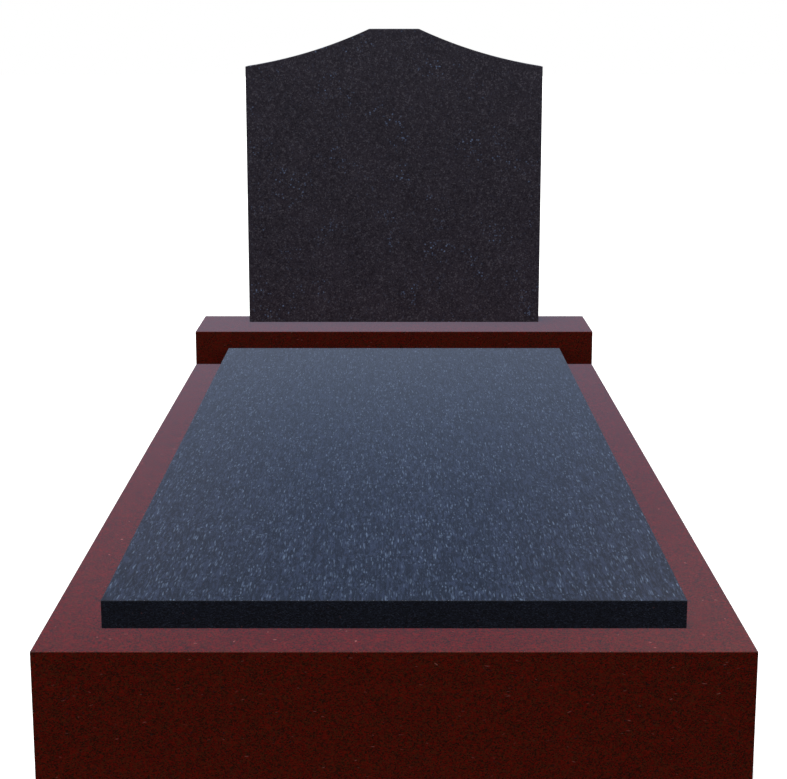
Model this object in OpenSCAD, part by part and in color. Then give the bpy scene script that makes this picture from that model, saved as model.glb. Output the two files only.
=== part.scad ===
// Full-length granite memorial: a headstone on its base, with a ledger slab and a kerb surround.
// Millimetres. The origin is at ground level in the middle of the kerb, with x across the grave,
// -y towards the foot and z up. Each stone rests on the one below it by its own weight.

/* [Kerb surround] */
// Width of the kerb, across the grave
kerb_w = 914; // [740:1:1300]
// Length of the kerb, from foot to head
kerb_l = 2110; // [1500:5:2700]
// Height of the kerb above the ground
kerb_h = 203; // [100:1:450]

/* [Ledger] */
// Thickness of the ledger slab
ledger_t = 38; // [20:1:100]
// Kerb left showing along each side of the ledger
side_margin = 76; // [20:1:150]
// Kerb left showing at the foot of the ledger
foot_margin = 87; // [20:1:200]
// Joint between the ledger and the base
joint = 3; // [1:0.5:10]
// How far the ledger's edges lie over the kerb
bearing = 44; // [20:1:90]

/* [Base] */
// Depth of the base, from front to back
base_d = 220; // [150:1:400]
// Height of the base
base_h = 76; // [50:1:200]

/* [Headstone] */
// Width of the headstone
stone_w = 686; // [450:1:800]
// Height of the headstone at its crown
stone_h = 682; // [400:1:1200]
// Thickness of the headstone
stone_t = 76; // [50:1:130]
// Base left showing behind the headstone
back_margin = 11; // [0:1:60]
// Width of the flat crown
crown_w = 115; // [40:1:300]
// Height of the crown above the shoulders
crown_rise = 85; // [40:1:200]
// Depth of each scoop below a straight line from crown to shoulder
scoop_depth = 10.3; // [2:0.1:30]

/* [Finish] */
// Width of the eased edge along every polished corner
arris = 1; // [0.5:0.5:6]

/* [Hidden] */
$fn = 360;
over = 1; // how far a cutting tool runs past the face it cuts

foot_y = -kerb_l / 2;
head_y = kerb_l / 2;
base_y = head_y - base_d;
stone_y = head_y - back_margin - stone_t;

ledger_w = kerb_w - 2 * side_margin;
ledger_y = foot_y + foot_margin;
ledger_l = base_y - joint - ledger_y;

// Each scoop is one arc through an end of the crown and the shoulder beside it
crown_end = [crown_w / 2, stone_h];
shoulder = [stone_w / 2, stone_h - crown_rise];
chord = shoulder - crown_end;
chord_l = norm(chord);
chord_out = [-chord.y, chord.x] / chord_l;
scoop_r = chord_l * chord_l / (8 * scoop_depth) + scoop_depth / 2;
scoop_centre = (crown_end + shoulder) / 2 + chord_out * (scoop_r - scoop_depth);

// Rectangle from the origin with all four corners eased, for a block's plan
module eased_plan(w, l)
    polygon([[arris, 0], [w - arris, 0], [w, arris], [w, l - arris],
             [w - arris, l], [arris, l], [0, l - arris], [0, arris]]);

// Rectangle from the origin with only its top corners eased, for a block's side
module eased_side(w, h)
    polygon([[0, 0], [w, 0], [w, h - arris], [w - arris, h], [arris, h], [0, h - arris]]);

// Block from y = 0 back, centred across x, eased at its top and upright edges and square at its bed
module eased_block(w, l, h)
    translate([-w / 2, 0, 0])
        intersection() {
            linear_extrude(h) eased_plan(w, l);
            translate([0, l, 0]) rotate([90, 0, 0]) linear_extrude(l) eased_side(w, h);
            rotate([90, 0, 90]) linear_extrude(w) eased_side(l, h);
        }

// The grave space: open below, and as much smaller than the ledger as its edges bear on the kerb
module grave_space()
    translate([bearing - ledger_w / 2, ledger_y + bearing, -over])
        cube([ledger_w - 2 * bearing, ledger_l - 2 * bearing, kerb_h + 2 * over]);

// Tool that hollows one side of the headstone's top and eases the edges of the hollow
module scoop()
    translate([scoop_centre.x, 0, scoop_centre.y])
        rotate([-90, 0, 0]) {
            translate([0, 0, -over])
                cylinder(r = scoop_r, h = stone_t + 2 * over);
            translate([0, 0, -over])
                cylinder(r1 = scoop_r + arris + over, r2 = scoop_r, h = arris + over);
            translate([0, 0, stone_t - arris])
                cylinder(r1 = scoop_r, r2 = scoop_r + arris + over, h = arris + over);
        }

module kerb_surround()
    color("#6b2a30")
        difference() {
            translate([0, foot_y, 0]) eased_block(kerb_w, kerb_l, kerb_h);
            grave_space();
        }

module base()
    color("#6b2a30")
        translate([0, base_y, kerb_h]) eased_block(kerb_w, base_d, base_h);

module headstone()
    color("#29242c")
        translate([0, stone_y, kerb_h + base_h])
            difference() {
                eased_block(stone_w, stone_t, stone_h);
                scoop();
                mirror([1, 0, 0]) scoop();
            }

module ledger()
    color("#3f4c62")
        translate([0, ledger_y, kerb_h]) eased_block(ledger_w, ledger_l, ledger_t);

kerb_surround();
base();
headstone();
ledger();
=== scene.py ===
import math

import bmesh
import bpy
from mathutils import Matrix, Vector


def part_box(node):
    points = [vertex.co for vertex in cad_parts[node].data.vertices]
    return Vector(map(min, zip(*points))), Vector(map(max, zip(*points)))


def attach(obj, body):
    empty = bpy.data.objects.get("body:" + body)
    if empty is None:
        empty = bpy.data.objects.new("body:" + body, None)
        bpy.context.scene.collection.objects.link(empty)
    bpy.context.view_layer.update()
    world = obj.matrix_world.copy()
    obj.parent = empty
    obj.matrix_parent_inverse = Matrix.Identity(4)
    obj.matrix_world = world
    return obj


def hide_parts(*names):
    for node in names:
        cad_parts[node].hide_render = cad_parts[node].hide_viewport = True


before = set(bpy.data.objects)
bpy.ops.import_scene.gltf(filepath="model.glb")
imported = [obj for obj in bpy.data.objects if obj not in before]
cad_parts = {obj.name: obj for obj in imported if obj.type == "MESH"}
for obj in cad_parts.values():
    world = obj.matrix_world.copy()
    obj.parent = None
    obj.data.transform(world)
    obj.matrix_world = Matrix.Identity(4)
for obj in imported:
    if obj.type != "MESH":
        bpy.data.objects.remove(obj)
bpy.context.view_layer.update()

mm = 0.001
scene = bpy.context.scene

# how the stones are cut
arrisFacets = 3                       # facets across each rounded corner
corner = math.radians(10)             # faces that meet at more than this have an arris between them
crease = math.radians(40)             # past this the shading breaks cleanly
square = 0.9                          # how far a face's normal leans along an axis to face that way


def sweep(mesh, rings, closed):
    # joins a row of equal rings of corners with four-sided faces
    count = len(rings)
    for i in range(count if closed else count - 1):
        near, far = rings[i], rings[(i + 1) % count]
        for j in range(len(near)):
            k = (j + 1) % len(near)
            mesh.faces.new((near[j], near[k], far[k], far[j]))


def prism(outline, placeAt, start, end):
    # a solid with the same outline from start to end
    mesh = bmesh.new()
    rings = [[mesh.verts.new(placeAt(a, b, depth)) for a, b in outline] for depth in (start, end)]
    mesh.faces.new(rings[0])
    mesh.faces.new(rings[1])
    sweep(mesh, rings, False)
    return mesh


def upright(a, b, depth):
    return Vector((a, b, depth))


def facing(a, b, depth):
    return Vector((a, depth, b))


def rectangle(low, high):
    return [(low.x, low.y), (high.x, low.y), (high.x, high.y), (low.x, high.y)]


def roundArrises(mesh, low, high, arris, outsideOnly=False):
    # takes the sharp edges off the way a mason's pad does; the bed's edges stay square, and so do those
    # of a hollow where only the outside is worked
    bmesh.ops.recalc_face_normals(mesh, faces=mesh.faces[:])
    worked = []
    for edge in mesh.edges:
        a, b = [v.co for v in edge.verts]
        x, y = ((a + b) / 2).xy
        hidden = outsideOnly and min(x - low.x, high.x - x, y - low.y, high.y - y) > mm
        if edge.calc_face_angle(0) > corner and max(a.z, b.z) > low.z + mm and not hidden:
            worked.append(edge)
    bmesh.ops.bevel(mesh, geom=worked, offset=arris * mm, segments=arrisFacets, profile=0.5, affect="EDGES",
                    clamp_overlap=True)


def finishPiece(mesh, name, node, materials, faceFinish):
    # gives each face its finish and puts the piece in the place of its CAD node
    for face in mesh.faces:
        face.smooth = True
        face.material_index = faceFinish(face)
    for edge in mesh.edges:
        edge.smooth = edge.calc_face_angle(0) < crease
    data = bpy.data.meshes.new(name)
    mesh.to_mesh(data)
    mesh.free()
    for material in materials:
        data.materials.append(material)
    piece = bpy.data.objects.new(name, data)
    scene.collection.objects.link(piece)
    level = piece.modifiers.new("flatFacesStayFlat", "WEIGHTED_NORMAL")
    level.mode = "FACE_AREA"
    level.weight = 100                # the broad faces alone decide the shading
    level.keep_sharp = True
    piece.visible_glossy = False      # the stones show the studio's light in their polish, not each other
    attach(piece, "root")
    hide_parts(node)
    return piece


def linearColour(code):
    # an sRGB hex value as the linear colour that shaders work in
    channels = [int(code[i:i + 2], 16) / 255 for i in (1, 3, 5)]
    return [c / 12.92 if c <= 0.04045 else ((c + 0.055) / 1.055) ** 2.4 for c in channels] + [1]


def addNode(tree, kind, inputs=None, stops=(), **settings):
    # adds a node, sets it up and links or fills its inputs; stops are a ramp's places and hex colours
    node = tree.nodes.new(kind)
    for name, value in settings.items():
        setattr(node, name, value)
    for socket, value in (inputs or {}).items():
        if isinstance(value, bpy.types.NodeSocket):
            tree.links.new(value, node.inputs[socket])
        else:
            node.inputs[socket].default_value = value
    for i, (place, code) in enumerate(stops):
        elements = node.color_ramp.elements
        stop = elements[i] if i < len(elements) else elements.new(place)
        stop.position = place
        stop.color = linearColour(code)
    return node


def newMaterial(name):
    material = bpy.data.materials.new(name)
    material.use_nodes = True
    material.node_tree.nodes.clear()
    return material, material.node_tree


mixShare, mixUnder, mixOver, mixed = 0, 6, 7, 2         # a colour Mix node's sockets
mottleNoise = (0.3, 0.7)              # noise at which the mottle is at its darkest and its lightest
clumpNoise = (0.25, 0.75)             # noise at which the choice of mineral leans furthest
fleckEdge = 0.55                      # how far a fleck reaches, in cells
fleckSoft = 0.3                       # how much of that is its soft edge


def wander(tree, place, size, amount, drawn=(1, 1, 1)):
    # bends a pattern's coordinates by an amount in mm, so that its grains lose their straight sides, and
    # draws the grains out along each axis
    noise = addNode(tree, "ShaderNodeTexNoise", {"Vector": place, "Scale": 1 / (size * mm), "Detail": 1})
    bent = addNode(tree, "ShaderNodeVectorMath",
                   {0: noise.outputs["Color"], 1: [amount * mm] * 3, 2: place}, operation="MULTIPLY_ADD")
    drawnOut = addNode(tree, "ShaderNodeVectorMath", {0: bent.outputs[0], 1: drawn}, operation="DIVIDE")
    return drawnOut.outputs[0]


def crystals(tree, place, look):
    # interlocked grains: each Voronoi cell takes one mineral's colour, by its share of the stone, and
    # minerals that are next to each other in the list gather in soft clumps; a second value for each
    # grain sets how well it took the polish
    cells = addNode(tree, "ShaderNodeTexVoronoi", {"Vector": place, "Scale": 1 / (look["grain"] * mm)})
    luck = addNode(tree, "ShaderNodeSeparateColor", {0: cells.outputs["Color"]})
    noise = addNode(tree, "ShaderNodeTexNoise",
                    {"Vector": place, "Scale": 1 / (look["clump"] * mm), "Detail": 2})
    lean = addNode(tree, "ShaderNodeMapRange",
                   {"Value": noise.outputs[0], "From Min": clumpNoise[0], "From Max": clumpNoise[1],
                    "To Min": -look["clumping"], "To Max": look["clumping"]})
    chosen = addNode(tree, "ShaderNodeMath", {0: luck.outputs[0], 1: lean.outputs[0]}, operation="ADD")
    stops = []
    start = 0
    for share, code in look["minerals"]:
        stops.append((start, code))
        start += share
    ramp = addNode(tree, "ShaderNodeValToRGB", {"Fac": chosen.outputs[0]}, stops)
    ramp.color_ramp.interpolation = "CONSTANT"
    return ramp.outputs["Color"], luck.outputs[1]


def flecks(tree, place, size, share, soft=fleckSoft):
    # mask of single flecks in a share of the cells, each as strong as its luck and soft at its edge
    cells = addNode(tree, "ShaderNodeTexVoronoi", {"Vector": place, "Scale": 1 / (size * mm)})
    luck = addNode(tree, "ShaderNodeSeparateColor", {0: cells.outputs["Color"]})
    strength = addNode(tree, "ShaderNodeMapRange",
                       {"Value": luck.outputs[2], "From Min": 1 - share, "From Max": 1})
    spot = addNode(tree, "ShaderNodeMapRange",
                   {"Value": cells.outputs["Distance"], "From Min": fleckEdge,
                    "From Max": fleckEdge - soft})
    return addNode(tree, "ShaderNodeMath", {0: strength.outputs[0], 1: spot.outputs[0]},
                   operation="MULTIPLY").outputs[0]


def inlay(tree, colour, layers):
    # lays each mask's colour over what is there, one after another
    for mask, code in layers:
        over = addNode(tree, "ShaderNodeMix",
                       {mixShare: mask, mixUnder: colour, mixOver: linearColour(code)}, data_type="RGBA")
        colour = over.outputs[mixed]
    return colour


def mottle(tree, colour, place, look):
    # slow change from lighter to darker stone, either way by the mottle's depth
    noise = addNode(tree, "ShaderNodeTexNoise",
                    {"Vector": place, "Scale": 1 / (look["mottleSize"] * mm), "Detail": 3})
    level = addNode(tree, "ShaderNodeMapRange",
                    {"Value": noise.outputs[0], "From Min": mottleNoise[0], "From Max": mottleNoise[1],
                     "To Min": 1 - look["mottleDepth"], "To Max": 1 + look["mottleDepth"]})
    return addNode(tree, "ShaderNodeVectorMath", {0: colour, "Scale": level.outputs[0]},
                   operation="SCALE").outputs[0]


# how a face was worked: how dull that leaves it, how far stone flour pales it, and how deep its grain and
# the blade's marks are in mm
finishes = {
    "polished": {"roughness": 0.12, "spread": 0.06, "pale": 0.0, "relief": 0.004, "sawMarks": 0.0},
    "honed": {"roughness": 0.42, "spread": 0.10, "pale": 0.10, "relief": 0.02, "sawMarks": 0.0},
    "sawn": {"roughness": 0.75, "spread": 0.10, "pale": 0.28, "relief": 0.05, "sawMarks": 0.25},
}
sawPitch = 12                         # mm from one mark of the blade to the next
sawWander = 1.5                       # how far the marks stray from straight
waveTurns = 10 / (2 * math.pi)        # waves a metre of a diagonal wave texture whose scale is 1
flourAndArrisHighlight = "#8a8684"                # what stays in the pores of a face that isn't polished, and also the colour of the painted highlight along an arris
graniteIor = 1.5
arrisWearAndHighlight = {
    "pale": 0.10,                     # painted highlight: an arris is painted this much paler
    # an arris loses its polish first, so it is rougher
    "rougher": 0.12,
    "flat": 0.88,                     # a face that leans along an axis by this much isn't an arris
    "middle": 0.76,                   # and the middle of an arris leans by this much
}


def workedStone(tree, place, colour, grain, finish):
    # the surface that a face was given by the saw, the hone or the polisher, with its arrises worn rougher
    # and given a painted highlight
    work = finishes[finish]
    normal = addNode(tree, "ShaderNodeNewGeometry").outputs["Normal"]
    turned = addNode(tree, "ShaderNodeVectorMath", {0: normal}, operation="ABSOLUTE")
    sides = addNode(tree, "ShaderNodeSeparateXYZ", {0: turned.outputs[0]}).outputs
    widest = addNode(tree, "ShaderNodeMath", {0: sides[1], 1: sides[2]}, operation="MAXIMUM")
    widest = addNode(tree, "ShaderNodeMath", {0: widest.outputs[0], 1: sides[0]}, operation="MAXIMUM")
    arrisWornAndHighlit = addNode(tree, "ShaderNodeMapRange",
                   {"Value": widest.outputs[0], "From Min": arrisWearAndHighlight["flat"],
                    "From Max": arrisWearAndHighlight["middle"]}).outputs[0]
    # stone flour pales the faces that aren't polished, and the arrises get a painted highlight in the same
    # colour
    flourPaleAndPaintedHighlight = addNode(tree, "ShaderNodeMapRange",
                       {"Value": arrisWornAndHighlit, "To Min": work["pale"], "To Max": work["pale"] + arrisWearAndHighlight["pale"]})
    colour = inlay(tree, colour, [(flourPaleAndPaintedHighlight.outputs[0], flourAndArrisHighlight)])
    dull = addNode(tree, "ShaderNodeMapRange",
                   {"Value": grain, "To Min": work["roughness"],
                    "To Max": work["roughness"] + work["spread"]})
    rough = addNode(tree, "ShaderNodeMath", {0: arrisWornAndHighlit, 1: arrisWearAndHighlight["rougher"], 2: dull.outputs[0]},
                    operation="MULTIPLY_ADD")
    height = grain
    if work["sawMarks"]:
        marks = addNode(tree, "ShaderNodeTexWave",
                        {"Vector": place, "Scale": 1 / (sawPitch * mm * waveTurns),
                         "Distortion": sawWander}, bands_direction="DIAGONAL")
        height = addNode(tree, "ShaderNodeMath",
                         {0: marks.outputs["Fac"], 1: work["sawMarks"] / work["relief"], 2: grain},
                         operation="MULTIPLY_ADD").outputs[0]
    bump = addNode(tree, "ShaderNodeBump", {"Height": height, "Distance": work["relief"] * mm})
    shader = addNode(tree, "ShaderNodeBsdfPrincipled",
                     {"Base Color": colour, "Roughness": rough.outputs[0], "IOR": graniteIor,
                      "Normal": bump.outputs[0]})
    addNode(tree, "ShaderNodeOutputMaterial", {"Surface": shader.outputs[0]})


# charcoal granite: near black with a violet cast and so even that it reads as cloth, with blue mica and
# black grains that gather in loose clouds; lengths are in mm, and the 1 mm grain is drawn coarser to show
charcoalLook = {
    "grain": 2.6,
    "bend": (5, 3),                   # how far apart the bends in the grain are, and how deep
    "minerals": [(0.18, "#2f2a32"), (0.4, "#36313a"), (0.32, "#3f3b44"), (0.1, "#524e57")],
    "clump": 11,
    "clumping": 0.22,
    "mottleSize": 45,
    "mottleDepth": 0.10,
    "micaSize": 4.2,
    "micaShare": 0.2,
    "micaColour": "#7c93bc",
    "blackBend": (9, 6),
    "blackShare": 0.05,
    "blackColour": "#100f14",
    "cloudSize": 85,
    "cloudEdge": (0.52, 0.66),        # noise at which a cloud starts and is full
    "betweenClouds": 0.1,             # strength of the mica between the clouds
}


def charcoalGranite(finish):
    look = charcoalLook
    material, tree = newMaterial(finish + "CharcoalGranite")
    place = addNode(tree, "ShaderNodeTexCoord").outputs["Object"]
    bent = wander(tree, place, *look["bend"])
    colour, grain = crystals(tree, bent, look)
    colour = mottle(tree, colour, place, look)
    cloudNoise = addNode(tree, "ShaderNodeTexNoise",
                         {"Vector": place, "Scale": 1 / (look["cloudSize"] * mm), "Detail": 2})
    cloud = addNode(tree, "ShaderNodeMapRange",
                    {"Value": cloudNoise.outputs[0], "From Min": look["cloudEdge"][0],
                     "From Max": look["cloudEdge"][1], "To Min": look["betweenClouds"]})
    black = flecks(tree, wander(tree, bent, *look["blackBend"]), look["grain"], look["blackShare"])
    mica = flecks(tree, bent, look["micaSize"], look["micaShare"])
    for mask, tint in ((black, "blackColour"), (mica, "micaColour")):
        gathered = addNode(tree, "ShaderNodeMath", {0: mask, 1: cloud.outputs[0]}, operation="MULTIPLY")
        colour = inlay(tree, colour, [(gathered.outputs[0], look[tint])])
    workedStone(tree, place, colour, grain, finish)
    return material


# red granite: deep red feldspar and brown mica in fine, even grains, and here and there a thin pale
# thread of quartz; lengths are in mm
redLook = {
    "grain": 1.5,
    "bend": (4, 2.5),
    "bedding": (1.15, 1.15, 0.8),     # the grains lie a little flat
    "minerals": [(0.2, "#631309"), (0.3, "#511009"), (0.24, "#4b1f10"), (0.26, "#31140c")],
    "clump": 9,
    "clumping": 0.12,
    "mottleSize": 32,
    "mottleDepth": 0.07,
    "threadSize": 2.2,
    "threadBend": (18, 12),
    "threadDrawn": (2.4, 2.4, 0.5),   # times the thread's size, along each axis
    "threadShare": 0.008,
    "threadColour": "#8f5450",
    "micaSize": 3.0,
    "micaShare": 0.02,
    "micaColour": "#1c1a22",
}


def redGranite(finish):
    look = redLook
    material, tree = newMaterial(finish + "RedGranite")
    place = addNode(tree, "ShaderNodeTexCoord").outputs["Object"]
    bedded = wander(tree, place, *look["bend"], look["bedding"])
    colour, grain = crystals(tree, bedded, look)
    colour = mottle(tree, colour, place, look)
    drawn = wander(tree, place, *look["threadBend"], look["threadDrawn"])
    mica = flecks(tree, bedded, look["micaSize"], look["micaShare"])
    threads = flecks(tree, drawn, look["threadSize"], look["threadShare"])
    colour = inlay(tree, colour, [(mica, look["micaColour"]), (threads, look["threadColour"])])
    workedStone(tree, place, colour, grain, finish)
    return material


# blue granite: blue-black ground crowded with flat feldspar blades that all lie along the slab and shine
# pale blue; the slab's upright sides are painted darker than its top, a painted shade; lengths are in mm
blueLook = {
    "grain": 2.4,                     # across the slab
    "bend": (40, 5),
    "drawn": (1, 11, 0.3),            # a blade's width, length and thickness, in widths
    "groundBend": (3, 2),             # the grains of the ground are bent once more
    "minerals": [(0.3, "#0b0d14"), (0.4, "#121620"), (0.3, "#1e2434")],
    "clump": 9,
    "clumping": 0.25,
    "bladeSoft": 0.4,
    "smallBlade": 1.6,
    "smallShare": 0.7,
    "smallColour": "#2b3446",
    "largeBlade": 2.5,
    "largeShare": 0.4,
    "largeColour": "#4f5d72",
    "garnetSize": 2.6,
    "garnetShare": 0.012,
    "garnetColour": "#4a3232",
    # painted shade: the colour that darkens the slab's upright sides
    "sideShadeColour": "#202227",
    "sideShadeShare": 0.45,                 # share of the painted shade's colour on the upright sides
    "faceLean": (0.9, 0.3),           # how far a normal leans upright on a face, and on an edge
    "mottleSize": 38,
    "mottleDepth": 0.14,
}


def blueGranite(finish):
    look = blueLook
    material, tree = newMaterial(finish + "BlueGranite")
    place = addNode(tree, "ShaderNodeTexCoord").outputs["Object"]
    drawn = wander(tree, place, *look["bend"], look["drawn"])
    colour, grain = crystals(tree, wander(tree, drawn, *look["groundBend"]), look)
    small = flecks(tree, drawn, look["smallBlade"], look["smallShare"], look["bladeSoft"])
    large = flecks(tree, drawn, look["largeBlade"], look["largeShare"], look["bladeSoft"])
    colour = inlay(tree, colour, [(small, look["smallColour"]), (large, look["largeColour"])])
    colour = mottle(tree, colour, place, look)
    # painted shade: faces that stand upright are painted darker than the top and the bed
    normal = addNode(tree, "ShaderNodeNewGeometry").outputs["Normal"]
    up = addNode(tree, "ShaderNodeSeparateXYZ", {0: normal}).outputs[2]
    lean = addNode(tree, "ShaderNodeMath", {0: up}, operation="ABSOLUTE")
    paintedSideShade = addNode(tree, "ShaderNodeMapRange",
                     {"Value": lean.outputs[0], "From Min": look["faceLean"][0],
                      "From Max": look["faceLean"][1], "To Max": look["sideShadeShare"]})
    garnets = flecks(tree, place, look["garnetSize"], look["garnetShare"])
    colour = inlay(tree, colour, [(paintedSideShade.outputs[0], look["sideShadeColour"]), (garnets, look["garnetColour"])])
    workedStone(tree, place, colour, grain, finish)
    return material


print("materials")
charcoal = [charcoalGranite(finish) for finish in ("polished", "sawn", "honed")]
red = [redGranite(finish) for finish in ("polished", "sawn")]
blue = [blueGranite(finish) for finish in ("polished", "sawn")]
polished, sawn, honed = 0, 1, 2


def bedIsSawn(face):
    return sawn if face.normal.z < -square else polished


def block(low, high, arris):
    # a plain block, with the edges of its bed left square
    mesh = prism(rectangle(low, high), upright, low.z, high.z)
    roundArrises(mesh, low, high, arris)
    return mesh


print("kerb surround")
kerb = {
    "arris": 1.0,                     # mm
    "bearing": 44,                    # mm of the kerb under each edge of the ledger
}
kerbLow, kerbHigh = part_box("kerb_surround")
ledgerLow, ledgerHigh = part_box("ledger")
bearing = Vector((kerb["bearing"], kerb["bearing"], 0)) * mm
outer = rectangle(kerbLow, kerbHigh)
inner = rectangle(ledgerLow + bearing, ledgerHigh - bearing)
kerbMesh = bmesh.new()
sections = []
for (ax, ay), (bx, by) in zip(outer, inner):
    section = [(ax, ay, kerbLow.z), (ax, ay, kerbHigh.z), (bx, by, kerbHigh.z), (bx, by, kerbLow.z)]
    sections.append([kerbMesh.verts.new(point) for point in section])
sweep(kerbMesh, sections, True)
roundArrises(kerbMesh, kerbLow, kerbHigh, kerb["arris"], outsideOnly=True)


def kerbFinish(face):
    # the walls of the grave space are sawn too
    middle = face.calc_center_median()
    inside = ledgerLow.x < middle.x < ledgerHigh.x and ledgerLow.y < middle.y < ledgerHigh.y
    return sawn if inside and face.normal.z < square else bedIsSawn(face)


finishPiece(kerbMesh, "kerbSurround", "kerb_surround", red, kerbFinish)

print("base")
base = {"arris": 1.0}
baseMesh = block(*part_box("base"), base["arris"])
finishPiece(baseMesh, "basePlinth", "base", red, bedIsSawn)

print("ledger")
ledger = {"arris": 1.0}
ledgerMesh = block(ledgerLow, ledgerHigh, ledger["arris"])
finishPiece(ledgerMesh, "ledgerSlab", "ledger", blue, bedIsSawn)

print("headstone")
headstone = {
    "crownWidth": 115,                # mm, the flat at the top
    "crownRise": 85,                  # mm from the shoulders up to the crown
    "scoopDepth": 10.3,               # mm that each scoop dips below a straight line
    "scoopSteps": 48,
    "arris": 1.0,
}
stoneLow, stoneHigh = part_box("headstone")


def scoop(start, end, depth, steps):
    # points of one hollow arc from start to end
    chord = end - start
    radius = chord.length ** 2 / (8 * depth) + depth / 2
    outward = Vector((-chord.y, chord.x)).normalized()
    centre = (start + end) / 2 + outward * (radius - depth)
    first, last = [math.atan2((p - centre).y, (p - centre).x) for p in (start, end)]
    turns = [first + (last - first) * i / steps for i in range(steps + 1)]
    return [(centre.x + radius * math.cos(turn), centre.y + radius * math.sin(turn)) for turn in turns]


crownEnd = Vector((headstone["crownWidth"] / 2 * mm, stoneHigh.z))
shoulder = Vector((stoneHigh.x, stoneHigh.z - headstone["crownRise"] * mm))
rightScoop = scoop(crownEnd, shoulder, headstone["scoopDepth"] * mm, headstone["scoopSteps"])
leftScoop = [(-x, z) for x, z in rightScoop]
stoneOutline = [(stoneLow.x, stoneLow.z), (stoneHigh.x, stoneLow.z)] + rightScoop[::-1] + leftScoop
stoneMesh = prism(stoneOutline, facing, stoneLow.y, stoneHigh.y)
roundArrises(stoneMesh, stoneLow, stoneHigh, headstone["arris"])


def stoneFinish(face):
    # the back faces away from the path, so it is only honed
    return honed if face.normal.y > square else bedIsSawn(face)


finishPiece(stoneMesh, "headstoneTablet", "headstone", charcoal, stoneFinish)

studio = {
    "floorSize": 60,                  # metres
    "floorColour": "#f4f4f4",
    "backdrop": "#ffffff",
    "sunStrength": 4.75,              # the light overhead
    "sunSoftness": 24,                # degrees
    "sunTilt": (4, -3),               # degrees towards the foot and to the left
    "walls": 0.83,                    # the lit walls all round
    "wallsUneven": 0.15,              # brighter on the left, darker on the right
    "wallsTop": (0.4, 0.6),           # where the walls end and the ceiling starts, as sines of the angle up
    "ceiling": 0.1,
    "ground": 0.15,
    "groundEdge": 0.02,               # half the height of the change from ground to walls
}

print("floor")
bpy.ops.mesh.primitive_plane_add(size=studio["floorSize"])
floor = bpy.context.object
floor.name = "studioFloor"
floorMaterial, floorTree = newMaterial("palePaintedFloor")
floorShader = addNode(floorTree, "ShaderNodeBsdfDiffuse", {"Color": linearColour(studio["floorColour"])})
addNode(floorTree, "ShaderNodeOutputMaterial", {"Surface": floorShader.outputs[0]})
floor.data.materials.append(floorMaterial)
floor.visible_glossy = False
floor.visible_diffuse = False

print("light")
sun = bpy.data.objects.new("studioSun", bpy.data.lights.new("studioSun", "SUN"))
scene.collection.objects.link(sun)
sun.data.energy = studio["sunStrength"]
sun.data.angle = math.radians(studio["sunSoftness"])
sun.rotation_euler = [math.radians(angle) for angle in (*studio["sunTilt"], 0)]
sun.visible_glossy = False

# what the polish shows at each height, from the ground's -1 to the zenith's 1: a soft blue-grey band
# above the horizon, darker above that and paler again overhead
mirroredSky = [
    (-1.0, "#080808"), (-0.12, "#080808"), (0.0, "#4c5058"), (0.06, "#8e99ac"), (0.165, "#8f99af"),
    (0.19, "#7c8ba5"), (0.23, "#707e9a"), (0.28, "#556280"), (0.31, "#6c7996"), (0.345, "#54617a"),
    (0.42, "#56657a"), (0.7, "#78808c"), (1.0, "#8a8e94"),
]

# two pale panels and a dark gap that the polish shows at the sides: the sines at which each one starts
# and is full, going across, up and down, and how much of its colour it lends
panels = [
    {"across": (-0.05, -0.14), "up": (0.17, 0.285), "down": (0.335, 0.3), "lends": 0.22, "hue": "#c3bfc7"},
    {"across": (0.05, 0.17), "up": (0.2, 0.31), "down": (0.7, 0.4), "lends": 0.28, "hue": "#c3bfc7"},
    {"across": (0.0, 0.11), "up": (0.08, 0.14), "down": (0.21, 0.17), "lends": 0.2, "hue": "#3a4256"},
]
world = bpy.data.worlds.new("studioWorld")
scene.world = world
world.use_nodes = True
sky = world.node_tree
sky.nodes.clear()
around = addNode(sky, "ShaderNodeTexCoord").outputs["Generated"]
way = addNode(sky, "ShaderNodeSeparateXYZ", {0: around}).outputs
climb = addNode(sky, "ShaderNodeMapRange", {"Value": way[2], "From Min": -1, "From Max": 1})
bands = [((height + 1) / 2, code) for height, code in mirroredSky]
mirrored = addNode(sky, "ShaderNodeValToRGB", {"Fac": climb.outputs[0]}, bands).outputs["Color"]
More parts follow.
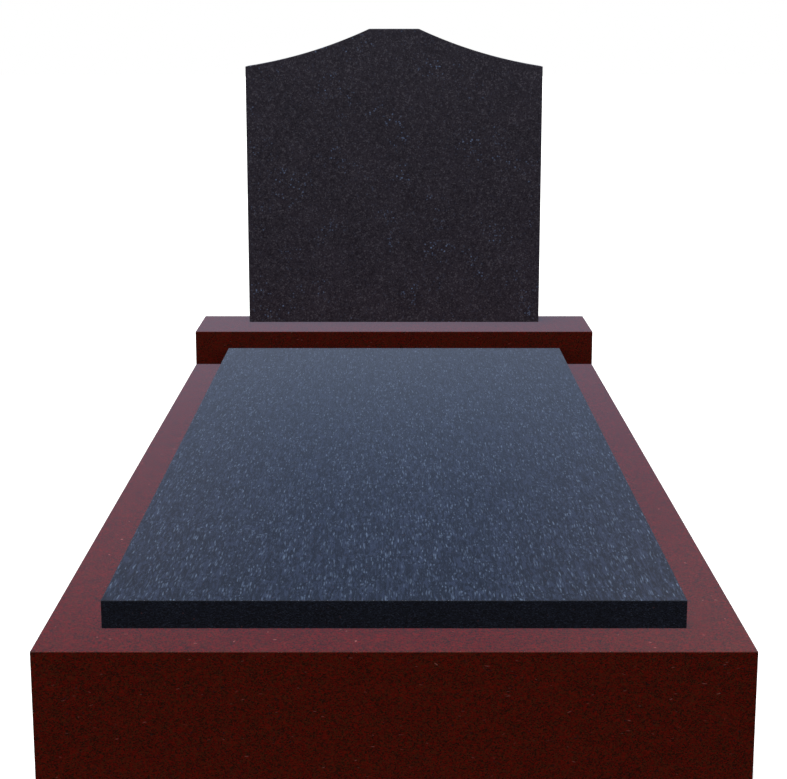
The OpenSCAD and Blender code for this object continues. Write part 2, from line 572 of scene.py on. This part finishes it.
for panel in panels:
    strength = panel["lends"]
    limits = [(way[0], panel["across"]), (way[2], panel["up"]), (way[2], panel["down"])]
    for direction, (start, full) in limits:
        strength = addNode(sky, "ShaderNodeMapRange",
                           {"Value": direction, "From Min": start, "From Max": full,
                            "To Max": strength}).outputs[0]
    mirrored = inlay(sky, mirrored, [(strength, panel["hue"])])
wall = addNode(sky, "ShaderNodeMapRange",
               {"Value": way[0], "From Min": -1, "From Max": 1,
                "To Min": studio["walls"] + studio["wallsUneven"],
                "To Max": studio["walls"] - studio["wallsUneven"]})
above = addNode(sky, "ShaderNodeMapRange",
                {"Value": way[2], "From Min": studio["wallsTop"][0], "From Max": studio["wallsTop"][1],
                 "To Min": wall.outputs[0], "To Max": studio["ceiling"]})
lit = addNode(sky, "ShaderNodeMapRange",
              {"Value": way[2], "From Min": -studio["groundEdge"], "From Max": studio["groundEdge"],
               "To Min": studio["ground"], "To Max": above.outputs[0]})
path = addNode(sky, "ShaderNodeLightPath")
shown = addNode(sky, "ShaderNodeMix",
                {mixShare: path.outputs["Is Glossy Ray"], mixUnder: lit.outputs[0],
                 mixOver: mirrored}, data_type="RGBA")
seen = addNode(sky, "ShaderNodeMix",
               {mixShare: path.outputs["Is Camera Ray"], mixUnder: shown.outputs[mixed],
                mixOver: linearColour(studio["backdrop"])}, data_type="RGBA")
glow = addNode(sky, "ShaderNodeBackground", {"Color": seen.outputs[mixed]})
addNode(sky, "ShaderNodeOutputWorld", {"Surface": glow.outputs[0]})

print("camera")
view = {
    "lens": 80.1,                     # mm
    "sensor": 36,                     # mm
    "lookDown": 11.834,               # degrees below level
    "before": 2.081,                  # metres in front of the foot of the kerb
    "above": 0.772,                   # metres above the kerb's top
    "shift": -0.0007,                 # of the frame's width
}
camera = bpy.data.objects.new("camera", bpy.data.cameras.new("camera"))
scene.collection.objects.link(camera)
camera.data.sensor_width = view["sensor"]
camera.data.lens = view["lens"]
camera.data.shift_x = view["shift"]
camera.location = (0, kerbLow.y - view["before"], kerbHigh.z + view["above"])
camera.rotation_euler = (math.radians(90 - view["lookDown"]), 0, 0)
scene.camera = camera
scene.view_settings.view_transform = "Standard"

print("done")
